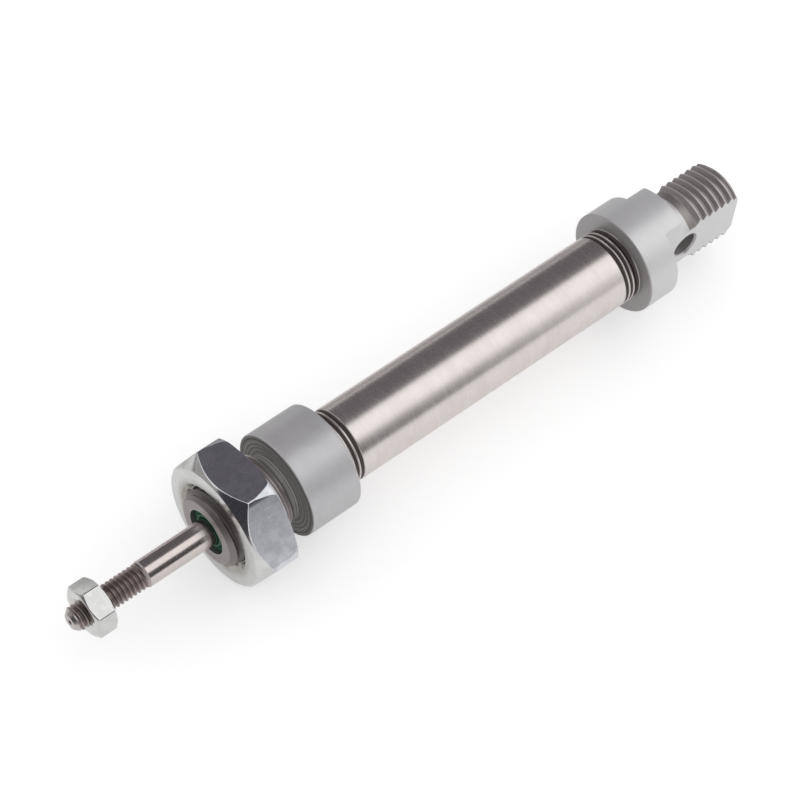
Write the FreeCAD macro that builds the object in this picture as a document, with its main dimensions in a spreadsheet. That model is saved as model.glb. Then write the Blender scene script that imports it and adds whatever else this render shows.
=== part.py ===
import FreeCAD, Part
import math
import os

import Sketcher

# A small round pneumatic cylinder with a rolled barrel, bore 10, stroke 25.
# X runs along the cylinder, +X towards the rod's thread. Y runs along the rear eye's hole. Z is up.
# The origin is the centre of the front mounting face, where the threaded spigot starts.
# All lengths are in millimetres and all angles in degrees.

# Driving dimensions
SIZES = [
    ("bore_diameter", 10, "inside of the barrel tube"),
    ("tube_wall", 0.65, "wall of the barrel tube"),
    ("stroke_length", 25, "travel of the piston"),
    ("rest_extension", 6.4, "how far the rod stands out of its drawn-in place, as photographed"),
    ("rod_reach", 16, "front mounting face to rod shoulder with the rod drawn in"),
    ("cap_diameter", 16, "outside of both end caps"),
    ("front_cap_length", 8.3, "front cap, shoulder to mounting face"),
    ("rear_disc_length", 5.2, "round part of the rear cap"),
    ("eye_block_length", 3.5, "flattened part of the rear cap, in front of its spigot"),
    ("eye_width", 8, "across the flats of the rear eye"),
    ("eye_hole_diameter", 4, "cross hole of the rear eye"),
    ("eye_hole_setback", 2, "rear mounting face to the cross hole's axis"),
    ("plug_length", 6, "part of each cap that lies inside the tube"),
    ("plug_clearance", 0.03, "gap between plug and tube, on the radius"),
    ("roll_inset", 0.7, "tube end to the bottom of the first rolled groove"),
    ("roll_pitch", 0.93, "one rolled groove to the next"),
    ("roll_depth", 0.3, "depth of a rolled groove"),
    ("hook_depth", 0.15, "how far the tube's rolled-in end reaches behind the plug's root"),
    ("hook_length", 0.5, "length of that rolled-in end"),
    ("nose_diameter", 8.3, "stepped-down nose of each plug, which carries the tube's seal"),
    ("nose_length", 1.3, "length of that nose"),
    ("spigot_length", 12, "both threaded spigots, from their mounting face"),
    ("spigot_crest_diameter", 11.9, "crests of the M12x1.25 spigot threads"),
    ("spigot_neck_diameter", 10.2, "turned neck between spigot thread and mounting face"),
    ("front_neck_length", 2.1, "length of the front neck"),
    ("rear_neck_length", 3.1, "length of the rear neck"),
    ("spigot_tip_chamfer", 0.95, "end of both spigots"),
    ("rod_diameter", 4, "piston rod"),
    ("rod_clearance", 0.03, "gap between the rod and what it slides in, on the radius"),
    ("bush_diameter", 6, "outside of the rod bush"),
    ("bush_length", 8, "length of the rod bush"),
    ("fit_gap", 0.01, "gap of a pressed or snapped-in piece in its seat, on the radius"),
    ("rod_seal_diameter", 6.9, "outside of the rod seal"),
    ("rod_seal_seat", 3.4, "depth of the rod seal's seat"),
    ("rod_seal_length", 2.7, "body of the rod seal"),
    ("rod_seal_lip", 0.35, "how far the wiper lip stands proud of the seal's face"),
    ("rod_seal_lip_width", 0.45, "width of the wiper lip"),
    ("rear_air_diameter", 3, "air bore of the rear cap"),
    ("port_tap_diameter", 4.2, "tapping hole of the M5 ports"),
    ("port_depth", 4, "depth of the tapped hole below its spot face"),
    ("port_passage_diameter", 2, "drilled passage from port to cylinder"),
    ("spot_face_diameter", 7, "flat seat round a port"),
    ("spot_face_depth", 0.4, "depth of that seat"),
    ("front_port_setback", 4.15, "front mounting face to the front port's axis"),
    ("rear_port_setback", 4.35, "rear mounting face to the rear port's axis"),
    ("buffer_diameter", 9.7, "outside of the end-stop rings"),
    ("buffer_length", 1.5, "thickness of the end-stop rings"),
    ("end_play", 0.05, "gap between piston and end-stop ring at either end of the stroke"),
    ("piston_diameter", 9.7, "lands of the piston"),
    ("piston_land_length", 2.5, "land at either end of the piston"),
    ("seal_room_length", 1.7, "room of a piston seal"),
    ("guide_room_length", 2, "room of the guide ring"),
    ("magnet_length", 3, "length of the ring magnet"),
    ("magnet_washer_length", 0.5, "thickness of the soft washer beside the magnet"),
    ("hub_diameter", 6.8, "hub of the piston, which carries seals, guide ring and magnet"),
    ("magnet_diameter", 9.2, "outside of magnet and washer"),
    ("seal_side_gap", 0.08, "gap beside a seal or the guide ring"),
    ("seal_lip_length", 0.5, "flaring lip of a piston seal"),
    ("wall_clearance", 0.02, "gap between piston seals or guide ring and the tube, on the radius"),
    ("journal_diameter", 3, "stepped end of the rod that carries the piston"),
    ("journal_seal_inset", 0.9, "front of the piston to the groove of the journal's seal"),
    ("journal_seal_groove", 0.8, "width of that groove"),
    ("journal_seal_section", 0.66, "thickness of the journal's seal"),
    ("rivet_head_diameter", 4.2, "formed head at the rear end of the rod"),
    ("rivet_head_length", 1, "thickness of the formed head"),
    ("rivet_seat_diameter", 4.6, "recess of the formed head in the rear half of the piston"),
    ("rivet_seat_depth", 1.1, "depth of that recess"),
    ("rod_thread_length", 12, "thread at the front end of the rod"),
    ("rod_crest_diameter", 3.8, "crests of the rod's M4 thread"),
    ("rod_tip_chamfer", 0.55, "front end of the rod"),
    ("centre_mark_diameter", 0.9, "centre drilled in the rod's tip"),
    ("centre_mark_angle", 60, "point of that centre drill"),
    ("thread_clearance", 0.03, "gap between a nut and its thread, on the radius"),
    ("mount_nut_flats", 19, "across the flats of the mounting nut"),
    ("mount_nut_length", 6.5, "thickness of the mounting nut"),
    ("mount_nut_setback", 4.3, "front mounting face to the nut, as photographed"),
    ("mount_nut_turn", 4.4, "turn of the mounting nut about the cylinder's axis"),
    ("mount_nut_front_bevel", 2.05, "length of the corner bevel at the front"),
    ("mount_nut_face_trim", 0.15, "how far the front face's circle lies inside the flats"),
    ("mount_nut_rear_face", 20.7, "circle of the rear face, where only the corners are trimmed"),
    ("mount_nut_corner_spare", 0.08, "bevel ridge outside the hexagon's corners"),
    ("mount_nut_countersink", 0.9, "countersink at both ends of its thread"),
    ("rod_nut_flats", 7, "across the flats of the rod nut"),
    ("rod_nut_length", 3.2, "thickness of the rod nut"),
    ("rod_nut_setback", 2, "rod tip to the nut, as photographed"),
    ("rod_nut_turn", 34, "turn of the rod nut about the rod's axis"),
    ("rod_nut_face_trim", 0.15, "how far each face's circle lies inside the flats"),
    ("rod_nut_bevel_angle", 30, "corner bevel, measured from the faces"),
    ("rod_nut_countersink", 0.35, "countersink at both ends of its thread"),
]

# How many grooves are rolled into each end of the tube
ROLLED_GROOVES = 3

document = FreeCAD.newDocument("pneumatic_cylinder")
sheet = document.addObject("Spreadsheet::Sheet", "sizes")
for row, (alias, size, meaning) in enumerate(SIZES, start=1):
    sheet.set(f"A{row}", str(size))
    sheet.set(f"B{row}", "'" + meaning)
    sheet.setAlias(f"A{row}", alias)
document.recompute()


def half(alias):
    """The radius that belongs to a diameter of the sheet."""
    return f"sizes.{alias} / 2"


def value(expression):
    """What an expression on the sheet comes to now."""
    return float(sheet.evalExpression(expression))


# Lengths that follow from the driving dimensions
FRONT_HUB_LENGTH = "(sizes.seal_room_length + sizes.guide_room_length)"
REAR_HUB_LENGTH = "(sizes.seal_room_length + sizes.magnet_length + sizes.magnet_washer_length)"
PISTON_LENGTH = f"(2 * sizes.piston_land_length + {FRONT_HUB_LENGTH} + {REAR_HUB_LENGTH})"
STOP_ROOM = "(sizes.buffer_length + sizes.end_play)"
TUBE_LENGTH = f"(2 * sizes.plug_length + 2 * {STOP_ROOM} + sizes.stroke_length + {PISTON_LENGTH})"
SHAFT_LENGTH = (f"(sizes.rod_reach + sizes.front_cap_length + sizes.plug_length + {STOP_ROOM}"
                " + sizes.stroke_length)")
REAR_CAP_LENGTH = "(sizes.rear_disc_length + sizes.eye_block_length)"

# Places along X
TUBE_FRONT_AT = "-sizes.front_cap_length"
TUBE_REAR_AT = f"(-sizes.front_cap_length - {TUBE_LENGTH})"
ROD_SHOULDER_AT = "(sizes.rod_reach + sizes.rest_extension)"
PISTON_AT = f"({ROD_SHOULDER_AT} - {SHAFT_LENGTH})"
GUIDE_AT = f"({PISTON_AT} - sizes.piston_land_length - sizes.seal_room_length)"
MAGNET_AT = f"({GUIDE_AT} - sizes.guide_room_length)"
MAGNET_WASHER_AT = f"({MAGNET_AT} - sizes.magnet_length)"
PISTON_END_AT = f"({PISTON_AT} - {PISTON_LENGTH})"
SEAL_SEAT_AT = "(sizes.spigot_length - sizes.rod_seal_seat)"

# Radii that pieces share
PLUG_RADIUS = "(sizes.bore_diameter / 2 - sizes.plug_clearance)"
ROD_PASS_RADIUS = "(sizes.rod_diameter / 2 + sizes.rod_clearance)"
JOURNAL_PASS_RADIUS = "(sizes.journal_diameter / 2 + sizes.fit_gap)"
JOURNAL_SEAL_FLOOR = f"({JOURNAL_PASS_RADIUS} + sizes.journal_seal_section + sizes.fit_gap)"
BUSH_SEAT_RADIUS = "(sizes.bush_diameter / 2 + sizes.fit_gap)"
HUB_CLEAR_RADIUS = "(sizes.hub_diameter / 2 + sizes.rod_clearance)"
WALL_RADIUS = "(sizes.bore_diameter / 2 - sizes.wall_clearance)"


def origin_plane(body, role):
    """One of a body's own origin planes."""
    return [feature for feature in body.Origin.OriginFeatures if feature.Role == role][0]


def sketch_on(body, name, role="XY_Plane"):
    """An empty sketch on one of the body's origin planes."""
    sketch = body.newObject("Sketcher::SketchObject", name)
    sketch.AttachmentSupport = [(origin_plane(body, role), "")]
    sketch.MapMode = "FlatFace"
    return sketch


def hold(sketch, constraint, expression):
    """Add a measured constraint and bind it to an expression."""
    index = sketch.addConstraint(constraint)
    sketch.setExpression(f"Constraints[{index}]", expression)


def hold_point(sketch, geometry, end, across, up):
    """Fix a sketch point by two expressions. The word zero puts it on the axis."""
    if across == "0":
        sketch.addConstraint(Sketcher.Constraint("PointOnObject", geometry, end, -2))
    else:
        hold(sketch, Sketcher.Constraint("DistanceX", -1, 1, geometry, end, value(across)), across)
    if up == "0":
        sketch.addConstraint(Sketcher.Constraint("PointOnObject", geometry, end, -1))
    else:
        hold(sketch, Sketcher.Constraint("DistanceY", -1, 1, geometry, end, value(up)), up)


def draw_outline(sketch, corners):
    """A closed outline of straight lines, with every corner bound to the sheet."""
    spots = [FreeCAD.Vector(value(across), value(up), 0) for across, up in corners]
    first = sketch.GeometryCount
    count = len(spots)
    for index in range(count):
        sketch.addGeometry(Part.LineSegment(spots[index], spots[(index + 1) % count]), False)
    for index in range(count):
        following = first + (index + 1) % count
        sketch.addConstraint(Sketcher.Constraint("Coincident", first + index, 2, following, 1))
    for index, (across, up) in enumerate(corners):
        hold_point(sketch, first + index, 1, across, up)


def draw_circle(sketch, across, up, radius):
    """A circle with its centre and radius bound to the sheet."""
    centre = FreeCAD.Vector(value(across), value(up), 0)
    index = sketch.addGeometry(Part.Circle(centre, FreeCAD.Vector(0, 0, 1), value(radius)), False)
    hold_point(sketch, index, 3, across, up)
    hold(sketch, Sketcher.Constraint("Radius", index, value(radius)), radius)


def turn(body, name, sketch, axis="H_Axis", kind="PartDesign::Revolution"):
    """Turn a sketch once round, about its own X axis unless another is named."""
    feature = body.newObject(kind, name)
    feature.Profile = sketch
    feature.ReferenceAxis = (sketch, [axis])
    feature.Angle = 360
    return feature


def new_body(label):
    return document.addObject("PartDesign::Body", label)


def place(body, along, turned=None):
    """Put a body at its place along X, and turn it about X where a turn is given."""
    if turned:
        about_x = FreeCAD.Rotation(FreeCAD.Vector(1, 0, 0), value(turned))
        body.Placement = FreeCAD.Placement(FreeCAD.Vector(), about_x)
        body.setExpression("Placement.Rotation.Angle", turned)
    body.setExpression("Placement.Base.x", along)
    return body


def turned_piece(label, corners, along):
    """A lathe-turned piece from its half section."""
    body = new_body(label)
    section = sketch_on(body, f"{label}_section")
    draw_outline(section, corners)
    turn(body, f"{label}_turned", section)
    return place(body, along)


def rolled_grooves(end, direction, radius):
    """Corners of the rolled grooves, from the tube's end inwards. The direction is 1 or -1 along X."""
    corners = [(end, radius)]
    for groove in range(ROLLED_GROOVES):
        bottom = f"{end} + {direction} * (sizes.roll_inset + {groove} * sizes.roll_pitch)"
        corners.append((bottom, f"{radius} - sizes.roll_depth"))
        corners.append((f"{bottom} + {direction} * sizes.roll_pitch / 2", radius))
    return corners


def plug_outline(shoulder, direction, air_radius):
    """The outside of a cap's plug from its shoulder inwards: undercut root, body, nose."""
    tip = f"{shoulder} + {direction} * sizes.plug_length"
    nose_start = f"{tip} - {direction} * sizes.nose_length"
    return [
        (shoulder, f"{PLUG_RADIUS} - sizes.hook_depth"),
        (f"{shoulder} + {direction} * sizes.hook_length", PLUG_RADIUS),
        (nose_start, PLUG_RADIUS),
        (nose_start, half("nose_diameter")),
        (tip, half("nose_diameter")),
        (tip, air_radius),
    ]


def spigot_outline(face, direction, neck_length):
    """The outside of a threaded spigot: neck, crests, chamfered end."""
    neck_end = f"{face} + {direction} * sizes.{neck_length}"
    tip = f"{face} + {direction} * sizes.spigot_length"
    return [
        (face, half("spigot_neck_diameter")),
        (neck_end, half("spigot_neck_diameter")),
        (neck_end, half("spigot_crest_diameter")),
        (f"{tip} - {direction} * sizes.spigot_tip_chamfer", half("spigot_crest_diameter")),
        (tip, f"{half('spigot_crest_diameter')} - sizes.spigot_tip_chamfer"),
    ]


def cut_port(body, name, along, air_radius):
    """A tapped port from below, with its spot face and the passage into the cylinder."""
    sketch = sketch_on(body, f"{name}_section", "XZ_Plane")
    outside = f"-{half('cap_diameter')}"
    seat = f"({outside} + sizes.spot_face_depth)"
    floor = f"({seat} + sizes.port_depth)"
    corners = [
        (along, f"{outside} - sizes.spot_face_depth"),
        (f"{along} + {half('spot_face_diameter')}", f"{outside} - sizes.spot_face_depth"),
        (f"{along} + {half('spot_face_diameter')}", seat),
        (f"{along} + {half('port_tap_diameter')}", seat),
        (f"{along} + {half('port_tap_diameter')}", floor),
        (f"{along} + {half('port_passage_diameter')}", floor),
        (f"{along} + {half('port_passage_diameter')}", f"-{air_radius} / 2"),
        (along, f"-{air_radius} / 2"),
    ]
    draw_outline(sketch, corners)
    return turn(body, name, sketch, f"Edge{len(corners)}", "PartDesign::Groove")


def make_front_cap():
    body = new_body("front_cap")
    section = sketch_on(body, "front_cap_section")
    shoulder = "-sizes.front_cap_length"
    seal_seat = half("rod_seal_diameter") + " + sizes.fit_gap"
    draw_outline(section, [
        *reversed(plug_outline(shoulder, -1, BUSH_SEAT_RADIUS)),
        (shoulder, half("cap_diameter")),
        ("0", half("cap_diameter")),
        *spigot_outline("0", 1, "front_neck_length"),
        ("sizes.spigot_length", seal_seat),
        (SEAL_SEAT_AT, seal_seat),
        (SEAL_SEAT_AT, BUSH_SEAT_RADIUS),
    ])
    turn(body, "front_cap_turned", section)
    cut_port(body, "front_port", "-sizes.front_port_setback", BUSH_SEAT_RADIUS)
    return place(body, "0")


def make_rear_cap():
    body = new_body("rear_cap")
    section = sketch_on(body, "rear_cap_section")
    face = f"-{REAR_CAP_LENGTH}"
    port_at = f"{face} + sizes.rear_port_setback"
    air_end = f"{port_at} - {half('port_tap_diameter')}"
    draw_outline(section, [
        *reversed(plug_outline("0", 1, half("rear_air_diameter"))),
        ("0", half("cap_diameter")),
        (face, half("cap_diameter")),
        *spigot_outline(face, -1, "rear_neck_length"),
        (f"{face} - sizes.spigot_length", "0"),
        (air_end, "0"),
        (air_end, half("rear_air_diameter")),
    ])
    turn(body, "rear_cap_turned", section)
    cut_port(body, "rear_port", port_at, half("rear_air_diameter"))

    flats = sketch_on(body, "eye_flats_sketch")
    start, end = "-sizes.rear_disc_length", f"{face} - 2 * sizes.spigot_length"
    for side in ("", "-"):
        near, far = f"{side}(sizes.eye_width / 2)", f"{side}sizes.cap_diameter"
        draw_outline(flats, [(start, near), (start, far), (end, far), (end, near)])
    through_cut(body, "eye_flats", flats)

    hole = sketch_on(body, "eye_hole_sketch", "XZ_Plane")
    draw_circle(hole, f"{face} - sizes.eye_hole_setback", "0", half("eye_hole_diameter"))
    through_cut(body, "eye_hole", hole)
    return place(body, TUBE_REAR_AT)


def through_cut(body, name, sketch):
    """Cut a sketch right through the piece, to both sides of its plane."""
    cut = body.newObject("PartDesign::Pocket", name)
    cut.Profile = sketch
    cut.Type = "ThroughAll"
    cut.SideType = "Symmetric"
    return cut


def make_barrel_tube():
    """The tube with its rolled grooves. Each end is rolled in and hooks behind the root of its plug."""
    inside = half("bore_diameter")
    outside = f"({inside} + sizes.tube_wall)"
    end = f"-{TUBE_LENGTH}"
    return turned_piece("barrel_tube", [
        *rolled_grooves("0", -1, outside),
        *reversed(rolled_grooves(end, 1, outside)),
        (end, f"{inside} - sizes.hook_depth"),
        (f"{end} + sizes.hook_length", inside),
        ("-sizes.hook_length", inside),
        ("0", f"{inside} - sizes.hook_depth"),
    ], TUBE_FRONT_AT)


def make_ring(label, start, end, inner, outer, along):
    """A plain ring between two places along X."""
    return turned_piece(label, [(start, inner), (start, outer), (end, outer), (end, inner)], along)


def make_tube_seal(label, along, direction):
    """The seal between plug and tube, a square ring on the plug's nose."""
    start = f"{direction} * (sizes.plug_length - sizes.nose_length)"
    inner = half("nose_diameter") + " + sizes.fit_gap"
    outer = half("bore_diameter") + " - sizes.fit_gap"
    return make_ring(label, start, f"{direction} * sizes.plug_length", inner, outer, along)


def make_buffer(label, along, direction, hole_radius):
    """An elastic end-stop ring in front of a plug, which also keeps the seal on the plug's nose."""
    start = f"{direction} * sizes.plug_length"
    return make_ring(label, start, f"{start} + {direction} * sizes.buffer_length", hole_radius,
                     half("buffer_diameter"), along)


def make_rod_seal():
    lip_radius = f"{ROD_PASS_RADIUS} + sizes.rod_seal_lip_width"
    lip_top = "sizes.rod_seal_length + sizes.rod_seal_lip"
    return turned_piece("rod_seal", [
        ("0", ROD_PASS_RADIUS),
        ("0", half("rod_seal_diameter")),
        ("sizes.rod_seal_length", half("rod_seal_diameter")),
        ("sizes.rod_seal_length", lip_radius),
        (lip_top, lip_radius),
        (lip_top, ROD_PASS_RADIUS),
    ], SEAL_SEAT_AT)


def make_piston_rod():
    tip = "sizes.rod_thread_length"
    crest = half("rod_crest_diameter")
    shaft_end = f"-{SHAFT_LENGTH}"
    head_front = f"{shaft_end} - {PISTON_LENGTH} + sizes.rivet_seat_depth"
    head_rear = f"{head_front} - sizes.rivet_head_length"
    mark_depth = f"{half('centre_mark_diameter')} / tan(sizes.centre_mark_angle * 1deg / 2)"
    return turned_piece("piston_rod", [
        (f"{tip} - {mark_depth}", "0"),
        (tip, half("centre_mark_diameter")),
        (tip, f"{crest} - sizes.rod_tip_chamfer"),
        (f"{tip} - sizes.rod_tip_chamfer", crest),
        ("0", crest),
        ("0", half("rod_diameter")),
        (shaft_end, half("rod_diameter")),
        (shaft_end, half("journal_diameter")),
        (head_front, half("journal_diameter")),
        (head_front, half("rivet_head_diameter")),
        (head_rear, half("rivet_head_diameter")),
        (head_rear, "0"),
    ], ROD_SHOULDER_AT)


def make_front_piston_half():
    """The front land and its hub, with the groove of the journal's seal in the bore."""
    land_end = "-sizes.piston_land_length"
    hub_end = f"{land_end} - {FRONT_HUB_LENGTH}"
    ring_end = "-sizes.journal_seal_inset - sizes.journal_seal_groove"
    return turned_piece("front_piston_half", [
        ("0", JOURNAL_PASS_RADIUS),
        ("0", half("piston_diameter")),
        (land_end, half("piston_diameter")),
        (land_end, half("hub_diameter")),
        (hub_end, half("hub_diameter")),
        (hub_end, JOURNAL_PASS_RADIUS),
        (ring_end, JOURNAL_PASS_RADIUS),
        (ring_end, JOURNAL_SEAL_FLOOR),
        ("-sizes.journal_seal_inset", JOURNAL_SEAL_FLOOR),
        ("-sizes.journal_seal_inset", JOURNAL_PASS_RADIUS),
    ], PISTON_AT)


def make_rear_piston_half():
    """The rear land and its hub, with the recess of the rod's formed head."""
    land_end = "sizes.piston_land_length"
    hub_end = f"{land_end} + {REAR_HUB_LENGTH}"
    return turned_piece("rear_piston_half", [
        ("0", half("rivet_seat_diameter")),
        ("0", half("piston_diameter")),
        (land_end, half("piston_diameter")),
        (land_end, half("hub_diameter")),
        (hub_end, half("hub_diameter")),
        (hub_end, JOURNAL_PASS_RADIUS),
        ("sizes.rivet_seat_depth", JOURNAL_PASS_RADIUS),
        ("sizes.rivet_seat_depth", half("rivet_seat_diameter")),
    ], PISTON_END_AT)


def make_piston_seal(label, along, direction):
    """A seal with its flaring lip towards the direction, 1 or -1, from its room's inner side."""
    heel = f"{direction} * sizes.seal_side_gap"
    mouth = f"{direction} * (sizes.seal_room_length - sizes.seal_side_gap)"
    return turned_piece(label, [
        (heel, HUB_CLEAR_RADIUS),
        (heel, half("piston_diameter")),
        (f"{mouth} - {direction} * sizes.seal_lip_length", half("piston_diameter")),
        (mouth, WALL_RADIUS),
        (mouth, HUB_CLEAR_RADIUS),
    ], along)


def make_nut(label, flats, length, bore_radius, countersink, bevel, along, turned):
    """A hexagon nut: prism, corner bevels, threaded hole with countersinks at both ends."""
    body = new_body(label)
    sketch = sketch_on(body, f"{label}_hexagon", "YZ_Plane")
    reach = value(flats) / 2 / math.cos(math.radians(30))
    corners = [math.radians(60 * corner) for corner in range(6)]
    spots = [FreeCAD.Vector(reach * math.cos(angle), reach * math.sin(angle), 0) for angle in corners]
    for corner in range(6):
        sketch.addGeometry(Part.LineSegment(spots[corner], spots[(corner + 1) % 6]), False)
    ring = sketch.addGeometry(Part.Circle(FreeCAD.Vector(), FreeCAD.Vector(0, 0, 1), reach), True)
    for corner in range(6):
        sketch.addConstraint(Sketcher.Constraint("Coincident", corner, 2, (corner + 1) % 6, 1))
        sketch.addConstraint(Sketcher.Constraint("PointOnObject", corner, 1, ring))
    for corner in range(1, 6):
        sketch.addConstraint(Sketcher.Constraint("Equal", 0, corner))
    sketch.addConstraint(Sketcher.Constraint("Coincident", ring, 3, -1, 1))
    sketch.addConstraint(Sketcher.Constraint("Horizontal", 1))
    hold(sketch, Sketcher.Constraint("Distance", -1, 1, 1, value(flats) / 2), f"{flats} / 2")
    prism = body.newObject("PartDesign::Pad", f"{label}_prism")
    prism.Profile = sketch
    prism.setExpression("Length", length)

    bevels = sketch_on(body, f"{label}_bevels_section")
    draw_outline(bevels, [*bevel, (length, flats), ("0", flats)])
    turn(body, f"{label}_bevels", bevels, kind="PartDesign::Groove")

    hole = sketch_on(body, f"{label}_hole_section")
    draw_outline(hole, [
        ("0", "0"),
        ("0", f"{bore_radius} + {countersink}"),
        (countersink, bore_radius),
        (f"{length} - {countersink}", bore_radius),
        (length, f"{bore_radius} + {countersink}"),
        (length, "0"),
    ])
    turn(body, f"{label}_hole", hole, kind="PartDesign::Groove")
    return place(body, along, turned)


def make_mounting_nut():
    apothem, corner = half("mount_nut_flats"), "sizes.mount_nut_flats / 2 / cos(30deg)"
    return make_nut(
        "mounting_nut", "sizes.mount_nut_flats", "sizes.mount_nut_length",
        f"({half('spigot_crest_diameter')} + sizes.thread_clearance)", "sizes.mount_nut_countersink",
        [("0", half("mount_nut_rear_face")),
         ("sizes.mount_nut_length - sizes.mount_nut_front_bevel", f"{corner} + sizes.mount_nut_corner_spare"),
         ("sizes.mount_nut_length", f"{apothem} - sizes.mount_nut_face_trim")],
        "sizes.mount_nut_setback", "sizes.mount_nut_turn")


def make_rod_nut():
    face = f"{half('rod_nut_flats')} - sizes.rod_nut_face_trim"
    corner = "sizes.rod_nut_flats / 2 / cos(30deg)"
    run = f"({corner} - {face}) * tan(sizes.rod_nut_bevel_angle * 1deg)"
    return make_nut(
        "rod_nut", "sizes.rod_nut_flats", "sizes.rod_nut_length",
        f"({half('rod_crest_diameter')} + sizes.thread_clearance)", "sizes.rod_nut_countersink",
        [("0", face), (run, corner), (f"sizes.rod_nut_length - {run}", corner),
         ("sizes.rod_nut_length", face)],
        f"{ROD_SHOULDER_AT} + sizes.rod_thread_length - sizes.rod_nut_setback - sizes.rod_nut_length",
        "sizes.rod_nut_turn")


JOURNAL_SEAL_END = "(sizes.journal_seal_inset + sizes.journal_seal_groove)"
HUB_FIT_RADIUS = "(sizes.hub_diameter / 2 + sizes.fit_gap)"

pieces = [
    make_barrel_tube(),
    make_front_cap(),
    make_rear_cap(),
    make_ring("rod_bush", "0", "-sizes.bush_length", ROD_PASS_RADIUS, half("bush_diameter"), SEAL_SEAT_AT),
    make_rod_seal(),
    make_tube_seal("front_tube_seal", TUBE_FRONT_AT, -1),
    make_tube_seal("rear_tube_seal", TUBE_REAR_AT, 1),
    make_buffer("front_buffer", TUBE_FRONT_AT, -1, BUSH_SEAT_RADIUS),
    make_buffer("rear_buffer", TUBE_REAR_AT, 1, half("rear_air_diameter")),
    make_piston_rod(),
    make_front_piston_half(),
    make_rear_piston_half(),
    make_ring("piston_rod_seal", "-sizes.journal_seal_inset - sizes.fit_gap",
              f"-{JOURNAL_SEAL_END} + sizes.fit_gap", JOURNAL_PASS_RADIUS,
              f"{JOURNAL_PASS_RADIUS} + sizes.journal_seal_section", PISTON_AT),
    make_piston_seal("front_piston_seal", GUIDE_AT, 1),
    make_piston_seal("rear_piston_seal", f"{MAGNET_WASHER_AT} - sizes.magnet_washer_length", -1),
    make_ring("guide_ring", "-sizes.seal_side_gap", "-sizes.guide_room_length + sizes.seal_side_gap",
              HUB_CLEAR_RADIUS, WALL_RADIUS, GUIDE_AT),
    make_ring("magnet_ring", "0", "-sizes.magnet_length", HUB_FIT_RADIUS, half("magnet_diameter"),
              MAGNET_AT),
    make_ring("magnet_washer", "0", "-sizes.magnet_washer_length", HUB_FIT_RADIUS,
              half("magnet_diameter"), MAGNET_WASHER_AT),
    make_mounting_nut(),
    make_rod_nut(),
]
document.recompute()

# Nothing is written unless every feature was built and every piece is one sound solid
for item in document.Objects:
    if "Invalid" in item.State or "Error" in item.State:
        raise RuntimeError(f"{item.Label} could not be built: {item.State}")
for piece in pieces:
    if piece.Shape.isNull() or not piece.Shape.isValid() or len(piece.Shape.Solids) != 1:
        raise RuntimeError(f"{piece.Label} is not one valid solid")

os.makedirs("parts", exist_ok=True)
for piece in pieces:
    piece.Shape.exportStep(f"parts/{piece.Label}.step")
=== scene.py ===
"""A small round pneumatic cylinder with its nuts, dressed on top of its CAD model.

X runs along the cylinder towards the rod's thread, Y along the hole of the rear eye, Z is up.
"""

import math

import bmesh
import bpy
from mathutils import Matrix, Vector


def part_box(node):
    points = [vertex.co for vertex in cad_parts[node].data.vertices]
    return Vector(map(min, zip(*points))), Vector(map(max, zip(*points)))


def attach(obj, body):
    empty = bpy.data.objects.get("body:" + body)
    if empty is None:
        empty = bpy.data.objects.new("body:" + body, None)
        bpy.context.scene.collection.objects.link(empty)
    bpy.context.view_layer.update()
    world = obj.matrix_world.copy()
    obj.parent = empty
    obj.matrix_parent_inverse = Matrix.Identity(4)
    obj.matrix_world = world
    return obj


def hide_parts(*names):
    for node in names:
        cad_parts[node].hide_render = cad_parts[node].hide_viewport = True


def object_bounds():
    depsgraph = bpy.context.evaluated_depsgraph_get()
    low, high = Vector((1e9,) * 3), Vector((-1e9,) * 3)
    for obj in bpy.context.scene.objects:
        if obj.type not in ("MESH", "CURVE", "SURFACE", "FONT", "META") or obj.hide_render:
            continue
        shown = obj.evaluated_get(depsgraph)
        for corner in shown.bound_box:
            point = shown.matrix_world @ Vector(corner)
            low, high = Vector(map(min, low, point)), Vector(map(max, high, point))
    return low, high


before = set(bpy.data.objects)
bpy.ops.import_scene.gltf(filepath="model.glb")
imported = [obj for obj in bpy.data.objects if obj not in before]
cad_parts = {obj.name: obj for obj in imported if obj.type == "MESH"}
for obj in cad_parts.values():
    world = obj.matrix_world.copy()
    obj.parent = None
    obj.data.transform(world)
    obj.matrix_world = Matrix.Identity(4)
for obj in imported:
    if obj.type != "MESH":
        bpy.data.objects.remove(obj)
cad_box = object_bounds()

MM = 0.001
TURN = 2 * math.pi

# The real sizes below are those that the frame's boxes don't give.

# Threaded spigots of both caps
SPIGOT_CREST = 5.9 * MM
SPIGOT_ROOT = 5.32 * MM
SPIGOT_NECK = 5.1 * MM
SPIGOT_PITCH = 1.25 * MM
SPIGOT_TIP_CHAMFER = 0.95 * MM
SPIGOT_THREAD_FADE = 0.5 * MM
FRONT_NECK = 1.3 * MM
REAR_NECK = 3.4 * MM

# Caps, and their plugs in the tube
CAP_EDGE = 0.22 * MM
NECK_CORNER = 0.12 * MM
FINE_EDGE = 0.08 * MM
PLUG_RADIUS = 4.97 * MM
NOSE_RADIUS = 4.15 * MM
NOSE_LENGTH = 1.3 * MM
BUSH_SEAT = 3.01 * MM
SEAL_SEAT = 3.46 * MM
AIR_RADIUS = 1.5 * MM

# Rear eye
REAR_DISC = 5.2 * MM
EYE_BLOCK = 3.5 * MM
EYE_HALF_WIDTH = 4 * MM
EYE_SETBACK = 2 * MM
EYE_HOLE = 2 * MM
EYE_MOUTH = 0.3 * MM

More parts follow.
